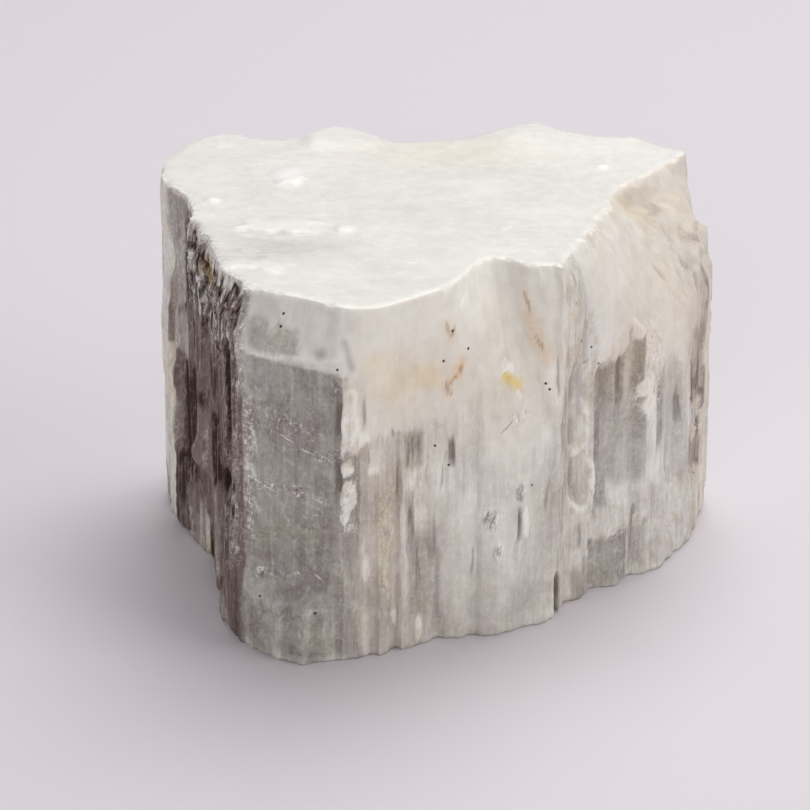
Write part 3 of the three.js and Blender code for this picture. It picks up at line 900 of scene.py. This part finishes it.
def top_points(rim):
    """Places inside the rim for the top face."""
    around = np.unwrap(np.arctan2(rim[:, 1] - MIDDLE[1], rim[:, 0] - MIDDLE[0]))
    reach = np.hypot(rim[:, 0] - MIDDLE[0], rim[:, 1] - MIDDLE[1])
    order = np.argsort(around % (2 * math.pi))
    low, high = rim[:, :2].min(0), rim[:, :2].max(0)
    columns = np.arange(low[0], high[0], TOP_STEP)
    rows = np.arange(low[1], high[1], TOP_STEP * 0.866)
    x, y = np.meshgrid(columns, rows)
    x = x + TOP_STEP / 2 * (np.arange(len(rows)) % 2)[:, None]
    x = x + 0.12 * (scatter(np.arange(x.size), 301).reshape(x.shape) - 0.5)
    y = y + 0.12 * (scatter(np.arange(y.size), 302).reshape(y.shape) - 0.5)
    x, y = x.ravel(), y.ravel()
    way = np.arctan2(y - MIDDLE[1], x - MIDDLE[0]) % (2 * math.pi)
    limit = np.interp(way, (around % (2 * math.pi))[order], reach[order], period=2 * math.pi)
    inside = np.hypot(x - MIDDLE[0], y - MIDDLE[1]) < limit - TOP_GAP
    return x[inside], y[inside]


def top_masks(x, y):
    """The masks of the top face."""
    # Greyer in front of the raised flake at the near left: painted shade.
    near_left = np.exp(-(((x + 22) / 8) ** 2) - ((y + 11.5) / 4.0) ** 2)
    back = np.exp(-(((x - 2) / 12) ** 2) - ((y - 25) / 5) ** 2)
    cloudy = rough_noise(x * 0.12, y * 0.16, 0, 241, 4)
    masks = dict.fromkeys(("dirt_and_shade", "orange", "rust", "slit", "hole"), np.zeros(x.shape))
    return masks | {
        # The flakes are painted whiter than the rest of the top: painted highlights.
        "clear": np.clip(0.13 + 0.14 * near_left + 0.06 * cloudy - 0.4 * all_flakes(x, y), 0, 1),
        "fibrous": 0.02 + 0.45 * combed(x, y) + 0.06 * step(cloudy, 0.1, 0.4),
        "broken": np.full(x.shape, 0.05),
        "glint": marks(x + 0.6 * rough_noise(x * 0.9, y * 0.9, 0, 261), y, TOP_GLINTS, 0.8),
        "yellow": 0.06 * back,
        "cream": 0.35 * back,
    }


def inset_foot(ring):
    """The foot: the lowest ring of the walls, moved down and a little inwards."""
    inward = np.array([*MIDDLE, 0]) - ring
    inward[:, 2] = 0
    foot = ring + FOOT_INSET * inward / np.linalg.norm(inward, axis=1)[:, None]
    foot[:, 2] = 0
    return foot


def wall_faces(columns, rows):
    """The four corners of each face of the walls."""
    j = np.arange(columns)[:, None]
    i = np.arange(rows - 1)[None, :]
    here, after = j * rows + i, (j + 1) % columns * rows + i
    return np.stack([here, after, after + 1, here + 1], -1).reshape(-1, 4)


def top_faces(rim, top, rows):
    """Triangles over the rim and the top points."""
    columns = len(rim)
    flat = np.concatenate([rim[:, :2], top[:, :2]])
    around = [(i, (i + 1) % columns) for i in range(columns)]
    made = delaunay_2d_cdt([Vector(p) for p in flat], around, [], 1, 1e-5)
    if len(made[0]) != len(flat):
        raise RuntimeError("the top's triangles added or lost a point")

    def number(k):
        return k * rows + rows - 1 if k < columns else columns * rows + k - columns

    return [tuple(number(k) for k in face) for face in made[2]]


def foot_faces(columns, rows, first):
    """The narrow bevel below the walls, and the flat foot, whose ring starts at the point first."""
    faces = []
    for a in range(columns):
        b = (a + 1) % columns
        faces.append((b * rows, a * rows, first + a, first + b))
        faces.append((first + b, first + a, first + columns))
    return faces


def add_masks(mesh, walls, top, columns):
    """The masks as attributes of the points: the walls, the top, then the foot."""
    foot = {"clear": 0.35, "fibrous": 0.5}
    for name, values in walls.items():
        both = np.concatenate([values.ravel(), top[name], np.full(columns + 1, foot.get(name, 0.0))])
        layer = mesh.attributes.new(name, "FLOAT", "POINT")
        layer.data.foreach_set("value", both.astype(np.float32))


def add_skin(mesh, points, places, s):
    """The skin's own coordinates: (s, z, 0) on the walls, and (y, x, 1) on the top and the foot."""
    columns, rows = s.shape
    end = 4 * columns * (rows - 1)
    corners = np.array([loop.vertex_index for loop in mesh.loops])
    flat = np.concatenate([points[:, [1, 0]], np.ones((len(points), 1))], -1)
    around = np.stack([s, places[:, :, 2], np.zeros(s.shape)], -1).reshape(-1, 3)
    walls = around[corners[:end]].reshape(-1, 4, 3)
    wraps = walls[:, :, 0].max(1) - walls[:, :, 0].min(1) > ROUND / 2
    walls[wraps, :, 0] += ROUND * (walls[wraps, :, 0] < 0)
    values = np.concatenate([walls.reshape(-1, 3), flat[corners[end:]]])
    layer = mesh.attributes.new("skin", "FLOAT_VECTOR", "CORNER")
    layer.data.foreach_set("vector", values.astype(np.float32).ravel())


def sharpen_rim(mesh, columns, rows):
    """Keeps the edge between the walls and the top crisp."""
    last_row = rows - 1
    for edge in mesh.edges:
        low, high = sorted(edge.vertices)
        if high < columns * rows and low % rows == last_row and high % rows == last_row:
            edge.use_edge_sharp = True


def block_mesh():
    """The whole block as one closed mesh."""
    places, masks, s = wall_grid()
    columns, rows = s.shape
    rim = places[:, -1]
    x, y = top_points(rim)
    top = np.stack([x, y, top_height(x, y) + top_relief(x, y)], -1)
    foot = inset_foot(places[:, 0])
    points = np.concatenate([places.reshape(-1, 3), top, foot, [[*MIDDLE, 0]]])
    faces = wall_faces(columns, rows).tolist() + top_faces(rim, top, rows)
    faces += foot_faces(columns, rows, columns * rows + len(top))

    mesh = bpy.data.meshes.new("selenite")
    mesh.from_pydata((points * MM).tolist(), [], faces)
    mesh.validate()
    add_masks(mesh, masks, top_masks(x, y), columns)
    add_skin(mesh, points, places, s)
    mesh.shade_smooth()
    sharpen_rim(mesh, columns, rows)
    mesh.update()
    return mesh


# Shader maths --------------------------------------------------------

class Wire:
    """One output of a shader node. Arithmetic on it adds Math nodes."""

    def __init__(self, paint, socket):
        self.paint = paint
        self.socket = socket

    def math(self, operation, *others):
        """A Math node on this wire and any others."""
        inputs = dict(enumerate((self, *others)))
        return self.paint.node("ShaderNodeMath", {"operation": operation}, inputs)

    def __add__(self, other):
        return self.math("ADD", other)

    __radd__ = __add__

    def __sub__(self, other):
        return self.math("SUBTRACT", other)

    def __rsub__(self, other):
        return self.paint.node("ShaderNodeMath", {"operation": "SUBTRACT"}, {0: other, 1: self})

    def __mul__(self, other):
        return self.math("MULTIPLY", other)

    __rmul__ = __mul__

    def most(self, other):
        """The greater of the two."""
        return self.math("MAXIMUM", other)

    def least(self, other):
        """The smaller of the two."""
        return self.math("MINIMUM", other)

    def held(self):
        """Kept between 0 and 1."""
        return self.paint.node("ShaderNodeClamp", {}, {"Value": self})

    def rise(self, low, high):
        """0 below low, 1 above high, and a smooth rise between them."""
        inputs = {"Value": self, "From Min": low, "From Max": high}
        return self.paint.node("ShaderNodeMapRange", {"interpolation_type": "SMOOTHSTEP"}, inputs)


SHEETED = 0.2  # how much slower the fibres change from front to back than from side to side
IOR = 1.52
HAZE = 30.0  # how fast light is taken up inside the crystal


class Paint:
    """A material under construction."""

    def __init__(self, name):
        self.material = bpy.data.materials.new(name)
        self.material.use_nodes = True
        self.tree = self.material.node_tree
        self.tree.nodes.clear()
        self.skin = None

    def node(self, kind, settings, inputs, output=0):
        """Adds any node: its settings first, then the values or wires of its inputs."""
        made = self.tree.nodes.new(kind)
        for name, value in settings.items():
            setattr(made, name, value)
        for name, value in inputs.items():
            if isinstance(value, Wire):
                self.tree.links.new(value.socket, made.inputs[name])
            else:
                made.inputs[name].default_value = value
        return Wire(self, made.outputs[output]) if made.outputs else None

    def place(self):
        """The skin's own coordinates, in millimetres."""
        if self.skin is None:
            self.skin = self.node("ShaderNodeAttribute", {"attribute_name": "skin"}, {}, "Vector")
        return self.skin

    def texture(self, place, detail, roughness, scale=1.0, warp=0.0, dimensions="3D"):
        """Noise from 0 to 1 at a place."""
        inputs = {"Vector": place, "Scale": scale, "Detail": detail, "Roughness": roughness}
        inputs["Distortion"] = warp
        return self.node("ShaderNodeTexNoise", {"noise_dimensions": dimensions}, inputs, "Fac")

    def noise(self, scale, detail=2.0, roughness=0.5, warp=0.0, turn=0.0):
        """Noise at scale features a millimetre across and along the fibres, turned by some degrees."""
        place = self.place()
        if turn:
            inputs = {"Vector": place, "Angle": math.radians(turn)}
            place = self.node("ShaderNodeVectorRotate", {"rotation_type": "Z_AXIS"}, inputs)
        place = self.vector("MULTIPLY", place, (*scale, 1.0))
        return self.texture(place, detail, roughness, warp=warp, dimensions="2D")

    def grain(self, scale, detail, roughness, warp=0.0):
        """Noise with no direction, at scale features a millimetre."""
        return self.texture(self.point(), detail, roughness, scale / MM, warp)

    def fibres(self, across, along, detail, roughness):
        """Noise drawn out along the fibres, in thin sheets that stand edge-on to the front."""
        point = self.point()
        top = self.node("ShaderNodeSeparateXYZ", {}, {"Vector": self.place()}, "Z")
        upright = tuple(value / MM for value in (across, across * SHEETED, along))
        level = tuple(value / MM for value in (along, across, across))
        stretch = self.node("ShaderNodeMix", {"data_type": "VECTOR"}, {0: top, 4: upright, 5: level}, 1)
        return self.texture(self.vector("MULTIPLY", point, stretch), detail, roughness)

    def point(self):
        """The place in the block, in metres."""
        return self.node("ShaderNodeTexCoord", {}, {}, "Object")

    def attribute(self, name):
        """A mask of the mesh."""
        return self.node("ShaderNodeAttribute", {"attribute_name": name}, {}, "Fac")

    def vector(self, operation, first, second, output=0):
        """A Vector Math node on two vectors."""
        return self.node("ShaderNodeVectorMath", {"operation": operation}, {0: first, 1: second}, output)

    def dot(self, first, second):
        """How far one vector reaches along another."""
        return self.vector("DOT_PRODUCT", first, second, "Value")

    def hairlines(self, table):
        """1 on hairlines in the walls, from a table of the same kind as the marks."""
        wobble = self.noise((1.1, 0.8), 2.0, 0.6)
        across = self.dot(self.place(), (1.0, 0.0, ON_TOP)) + (wobble - 0.5) * 0.7
        along = self.dot(self.place(), (0.0, 1.0, 0.0))
        place = self.node("ShaderNodeCombineXYZ", {}, {"X": across, "Y": along, "Z": 1.0})
        gaps = []
        for s, z, half_long, half_wide, lean in table:
            sin, cos = math.sin(math.radians(lean)), math.cos(math.radians(lean))
            u = self.dot(place, (sin / half_long, cos / half_long, -(s * sin + z * cos) / half_long))
            v = self.dot(place, (cos / half_wide, -sin / half_wide, (z * sin - s * cos) / half_wide))
            gaps.append(u.math("MULTIPLY_ADD", u, v * v))
        return 1 - reduce(Wire.least, gaps).rise(0.3, 1.2)

    def blend(self, share, first, second):
        """Two colours mixed by share."""
        settings = {"data_type": "RGBA", "clamp_factor": True}
        return self.node("ShaderNodeMix", settings, {0: share, 6: first, 7: second}, 2)


def tint(red, green, blue):
    """A colour from its screen values out of 255."""
    linear = [((v / 255 + 0.055) / 1.055) ** 2.4 for v in (red, green, blue)]
    return (*linear, 1.0)


ON_TOP = 1000.0  # keeps the top, where the skin's third coordinate is 1, clear of the hairlines of the walls

# Hairlines: place, half length, half width, and degrees that the upper end leans to the right.
# Dark hairlines: painted shade in hairline cracks.
DARK_HAIRLINES = (
    (26.7, 14, 4.2, 0.12, -9), (40.4, 32.8, 1.7, 0.20, 50), (37, 19.2, 1.3, 0.20, 25),
    (37.9, 18.6, 1.1, 0.20, 25), (63.8, 8.3, 1.8, 0.18, 80),
)
# Glint hairlines are painted highlights.
GLINT_HAIRLINES = (
    (33.5, 51.6, 0.8, 0.22, 40), (41, 40.6, 1.5, 0.22, 60), (6.4, 33.6, 1.5, 0.14, -64),
    (9.6, 32.2, 1.3, 0.12, -74), (3.4, 25.4, 1.3, 0.14, -70), (11.2, 12.8, 0.9, 0.14, -58),
)

# Pinholes in the walls, as (s, z), painted dark: painted shade.
PINHOLES = (
    (5.6, 52.4), (5.6, 50.7), (14.3, 45.7), (29.3, 31.2), (31.3, 27.7), (31.8, 48.2), (34.3, 45.2),
    (30.5, 44.2), (44.8, 22.4), (47.3, 37.5), (47.8, 36.6), (54.4, 48), (55.8, 41.8), (58.7, 39.7),
    (60.4, 36.6), (3.4, 9.2), (11.3, 7.9),
)
PINHOLE_RADIUS = 0.2


class Selenite(Paint):
    """Milky fibrous gypsum, glassier and greyer on its cleavage faces."""

    def __init__(self):
        super().__init__("selenite")
        self.level = self.attribute("clear")
        self.fibrous = self.attribute("fibrous")
        self.broken = self.attribute("broken")
        self.threads = self.fibres(2.6, 0.09, 4.0, 0.7)
        self.mottle = self.grain(0.5, 4.0, 0.62)
        self.crumbs = self.grain(1.3, 3.0, 0.65, 0.8)
        self.leaves = self.noise((0.34, 0.13), 5.0, 0.65, 0.4)
        self.peeled = self.leaves.rise(0.48, 0.52)
        strands = self.noise((3.0, 0.45), 3.0, 0.65, 0.5, 10)
        splintered = self.crumbs * 0.5 + strands * 0.5
        self.chips = (splintered.rise(0.53, 0.60) * self.broken).held()
        self.pits = ((1 - splintered).rise(0.53, 0.61) * self.broken).held()
        self.hole = self.attribute("hole")

    def clearness(self):
        """How glassy the crystal is, from 0 to 1."""
        level, broken, crumbs, threads = self.level, self.broken, self.crumbs, self.threads
        strokes = self.noise((0.55, 2.2), 3.0, 0.7, 1.0, 16)
        pocks = (1 - crumbs).rise(0.52, 0.66) - crumbs.rise(0.54, 0.68)
        uneven = (threads - 0.5) * self.fibrous + (self.mottle - 0.5) * (0.16 + level * 0.45 + broken * 0.3)
        uneven = uneven + pocks * (level - 0.25).held() * (0.12 + broken * 0.6)
        leafed = (self.peeled - 0.5) * (0.02 + self.fibrous * 0.10)
        seams = (1 - threads).rise(0.60, 0.66) * self.fibrous * 0.35
        scratched = strokes.rise(0.56, 0.64) * broken * level.rise(0.45, 0.7) * 0.6
        return (level + uneven + leafed + seams - scratched - self.chips * 0.7).held()

    def soil_and_shade(self):
        """How thickly dirt and painted shade lie, from 0 to 1."""
        dirt_and_shade = self.attribute("dirt_and_shade") * (2.5 - self.threads * 3.0)
        return (dirt_and_shade + self.pits * 0.5 - self.chips * 0.8).held()

    def colour(self, clear, soiled_and_shaded):
        """The body of the crystal, with each stain, mark, painted shade and painted highlight laid over it in
        turn.
        """
        grey = self.blend(self.leaves.rise(0.36, 0.64), tint(168, 161, 146), tint(163, 152, 149))
        shade = (1 - self.mottle).rise(0.4, 0.7) * self.fibrous.rise(0.4, 0.8)
        colour = self.blend(shade, tint(249, 248, 243), tint(224, 214, 200))
        colour = self.blend(clear, colour, grey)
        worn = self.crumbs.rise(0.35, 0.62)
        # Painted highlights: the glints and the glint hairlines.
        glints = self.attribute("glint").most(self.hairlines(GLINT_HAIRLINES))
        for share, over in (
            (self.attribute("cream") * (0.15 + self.mottle * 0.9), tint(225, 207, 180)),
            # Brown dirt, and painted shade on the left wall and in the grooves.
            (self.attribute("dirt_and_shade").rise(0.05, 0.35) * 0.8, tint(152, 131, 125)),
            (self.attribute("yellow") * (0.65 + worn * 0.25), tint(240, 212, 122)),
            ((self.attribute("orange") * (0.25 + worn * 0.7)).held(), tint(238, 188, 112)),
            # Dark dirt and painted shade.
            (soiled_and_shaded * 0.95, tint(58, 44, 41)),
            (self.attribute("rust") * 0.6, tint(166, 126, 88)),
            # Painted shade in the slits and the dark hairlines.
            (self.attribute("slit").most(self.hairlines(DARK_HAIRLINES)) * 0.5, tint(104, 94, 86)),
            # Dirt and painted shade in the holes.
            (self.hole * 0.85, tint(44, 33, 31)),
            # Painted highlights.
            (glints * (0.6 + worn * 0.4), tint(254, 253, 250)),
            # Painted shade in the pinholes.
            (self.pinholes(), tint(38, 30, 28)),
        ):
            colour = self.blend(share, colour, over)
        return colour

    def pinholes(self):
        """1 in the pinholes, which are painted dark: painted shade."""
        gaps = [self.vector("DISTANCE", self.place(), (s, z, 0.0), "Value") for s, z in PINHOLES]
        return 1 - reduce(Wire.least, gaps).rise(PINHOLE_RADIUS * 0.6, PINHOLE_RADIUS * 1.3)

    def relief(self):
        """A Bump node for the finest fibres and crumbs, in millimetres."""
        relief = self.threads * (self.fibrous * 0.22)
        relief = relief + self.crumbs * (self.broken * 0.25 + self.level * 0.16 + 0.02) + self.mottle * 0.06
        relief = relief + self.peeled * (self.fibrous * 0.06)
        inputs = {"Height": relief, "Distance": MM, "Strength": 0.9}
        return self.node("ShaderNodeBump", {}, inputs, "Normal")

    def finished(self):
        """The material: milky, glassy where it is clear, and matte where dirt and painted shade lie."""
        clear, soiled_and_shaded, normal = self.clearness(), self.soil_and_shade(), self.relief()
        colour = self.colour(clear, soiled_and_shaded)
        milky = self.node("ShaderNodeBsdfPrincipled", {"subsurface_method": "RANDOM_WALK"}, {
            "Base Color": colour,
            "Roughness": 0.42,
            "IOR": IOR,
            "Subsurface Weight": 0.5,
            "Subsurface Radius": (1.0, 0.9, 0.8),
            "Subsurface Scale": 0.5 * MM,
            "Normal": normal,
        })
        matte_dirt_and_shade = self.node("ShaderNodeBsdfPrincipled", {}, {
            "Base Color": colour,
            "Roughness": 1.0,
            "Specular IOR Level": 0.1,
            "Normal": normal,
        })
        glassy = self.node("ShaderNodeBsdfPrincipled", {}, {
            "Base Color": tint(238, 233, 228),
            "Roughness": 0.24,
            "IOR": IOR,
            "Transmission Weight": 1.0,
            "Normal": normal,
        })
        mixed = self.node("ShaderNodeMixShader", {}, {0: clear * 0.3, 1: milky, 2: glassy})
        # Matte where dirt, painted shade and the holes lie.
        covered = (soiled_and_shaded * 1.5 + self.hole).held()
        mixed = self.node("ShaderNodeMixShader", {}, {0: covered, 1: mixed, 2: matte_dirt_and_shade})
        haze = self.node("ShaderNodeVolumeAbsorption", {}, {"Color": tint(196, 184, 176), "Density": HAZE})
        self.node("ShaderNodeOutputMaterial", {}, {"Surface": mixed, "Volume": haze})
        return self.material


# The piece -----------------------------------------------------------

def add(name, data):
    """A new object in the scene."""
    made = bpy.data.objects.new(name, data)
    bpy.context.scene.collection.objects.link(made)
    return made


crystal = add("selenite_crystal", block_mesh())
crystal.data.materials.append(Selenite().finished())
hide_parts(BLOCK)
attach(crystal, "root")


# Floor, light and camera ---------------------------------------------

def floor(far, colour):
    """A plain pale sheet for the block to stand on, reaching so far each way in metres."""
    paint = Paint("floor_paint")
    surface = paint.node("ShaderNodeBsdfPrincipled", {}, {"Base Color": colour, "Roughness": 0.6})
    paint.node("ShaderNodeOutputMaterial", {}, {"Surface": surface})
    mesh = bpy.data.meshes.new("floor")
    mesh.from_pydata([(-far, -far, 0), (far, -far, 0), (far, far, 0), (-far, far, 0)], [], [(0, 1, 2, 3)])
    mesh.materials.append(paint.material)
    add("floor", mesh)


floor(far=2.0, colour=tint(226, 221, 227))

world = bpy.data.worlds.new("studio")
world.use_nodes = True
sky = world.node_tree.nodes["Background"].inputs
sky["Color"].default_value = tint(222, 219, 228)
sky["Strength"].default_value = 0.23
bpy.context.scene.world = world


CENTRE = Vector((0, 0, 0.03))  # what the lamps are turned to, near the middle of the block


def lamp(name, place, size, power, colour):
    """A soft square lamp: its place and size in metres, and its power in watts."""
    light = bpy.data.lights.new(name, "AREA")
    light.size = size
    light.energy = power
    light.color = colour
    made = add(name, light)
    made.location = place
    made.rotation_euler = (CENTRE - made.location).to_track_quat("-Z", "Y").to_euler()


lamp("top_softbox", (0.10, 0.28, 0.62), 0.55, 3.5, (1.0, 0.993, 0.975))
lamp("right_softbox", (0.62, -0.28, 0.36), 0.45, 1.75, (1.0, 0.975, 0.945))
lamp("front_fill", (-0.14, -0.75, 0.30), 0.5, 1.6, (1.0, 0.972, 0.93))
lamp("left_fill", (-0.72, 0.10, 0.28), 0.4, 0.75, (1.0, 0.985, 0.96))

# The camera looks down on the aim at a pitch, from a distance in metres, with lens and sensor in millimetres.
PITCH = math.radians(25)
AIM = Vector((-4.9, -4.7, 27.0)) * MM
DISTANCE = 0.64117
LENS = 195.556
SENSOR = 36
camera = add("camera", bpy.data.cameras.new("camera"))
camera.data.lens = LENS
camera.data.sensor_width = SENSOR
camera.data.clip_start = 0.01
camera.location = AIM - DISTANCE * Vector((0, math.cos(PITCH), -math.sin(PITCH)))
camera.rotation_euler = (math.pi / 2 - PITCH, 0, 0)
bpy.context.scene.camera = camera
bpy.context.scene.view_settings.view_transform = "Standard"
